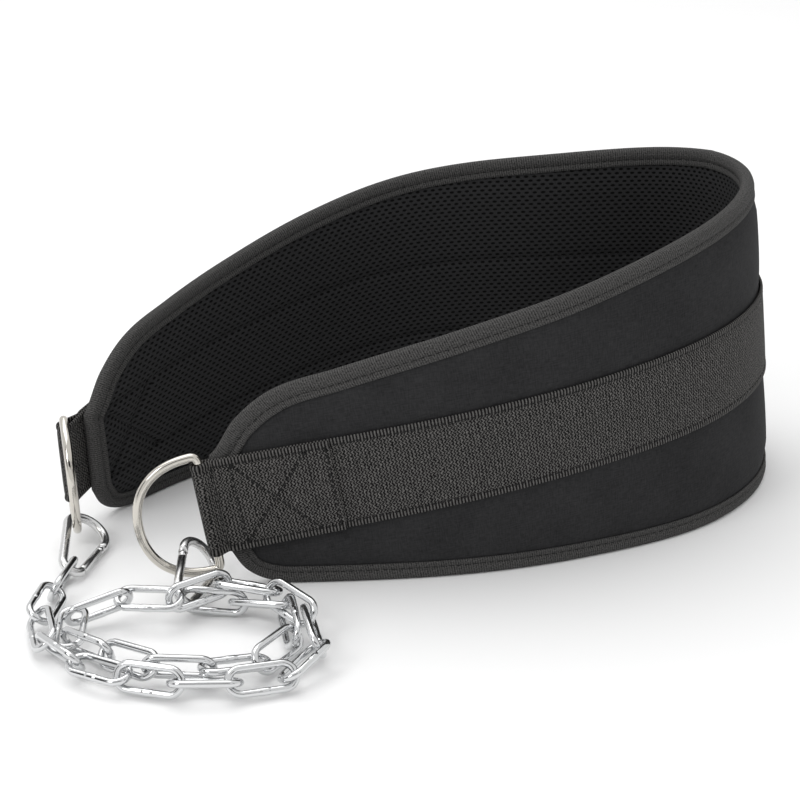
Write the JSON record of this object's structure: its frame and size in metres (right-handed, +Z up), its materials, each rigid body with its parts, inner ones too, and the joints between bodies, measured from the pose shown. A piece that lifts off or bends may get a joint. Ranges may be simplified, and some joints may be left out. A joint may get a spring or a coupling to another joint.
{
  "type": "dip belt",
  "caption": "Padded dip belt with a webbing strap, a D-ring at each end and a steel chain clipped between the rings by snap hooks.",
  "frame": {"origin": "on the floor under the middle of the whole object's bounding box", "axes": "+Z up, the belt stands on its lower edge; -Y towards the open front where the chain lies; +X towards the belt's closed side"},
  "size_m": [0.4052, 0.3508, 0.181],
  "materials": {
    "neoprene": "matte fine cross grain",
    "spacer_mesh": "open black mesh",
    "edge_tape": "ribbed tape",
    "webbing": "coarse woven webbing",
    "ring_metal": "nickel plated",
    "clip_metal": "zinc plated",
    "chain_metal": "zinc plated"
  },
  "bodies": {
    "belt_and_chain": {"belt_body": "neoprene", "belt_lining": "spacer_mesh", "belt_binding": "edge_tape", "strap": "webbing", "ring_near": "ring_metal", "hook_near": "clip_metal", "ring_far": "ring_metal", "hook_far": "clip_metal", "link_01": "chain_metal", "link_02": "chain_metal", "link_03": "chain_metal", "link_04": "chain_metal", "link_05": "chain_metal", "link_06": "chain_metal", "link_07": "chain_metal", "link_08": "chain_metal", "link_09": "chain_metal", "link_10": "chain_metal", "link_11": "chain_metal", "link_12": "chain_metal", "link_13": "chain_metal", "link_14": "chain_metal", "link_15": "chain_metal", "link_16": "chain_metal", "link_17": "chain_metal", "link_18": "chain_metal", "link_19": "chain_metal", "link_20": "chain_metal", "link_21": "chain_metal", "link_22": "chain_metal", "link_23": "chain_metal", "link_24": "chain_metal"},
    "gate_near": {"gate_near": "clip_metal"},
    "gate_far": {"gate_far": "clip_metal"}
  },
  "joints": [
    {"name": "gate_near_hinge", "type": "hinge", "parent": "belt_and_chain", "child": "gate_near", "pos_m": [-0.12766, -0.08232, 0.01716], "axis": [-0.7523, 0.151, -0.6412], "range_deg": [0, 22], "stiffness_Nm_per_rad": 0.02},
    {"name": "gate_far_hinge", "type": "hinge", "parent": "belt_and_chain", "child": "gate_far", "pos_m": [-0.18222, -0.04207, 0.00455], "axis": [0.5664, -0.1069, 0.8172], "range_deg": [0, 22], "stiffness_Nm_per_rad": 0.02}
  ]
}
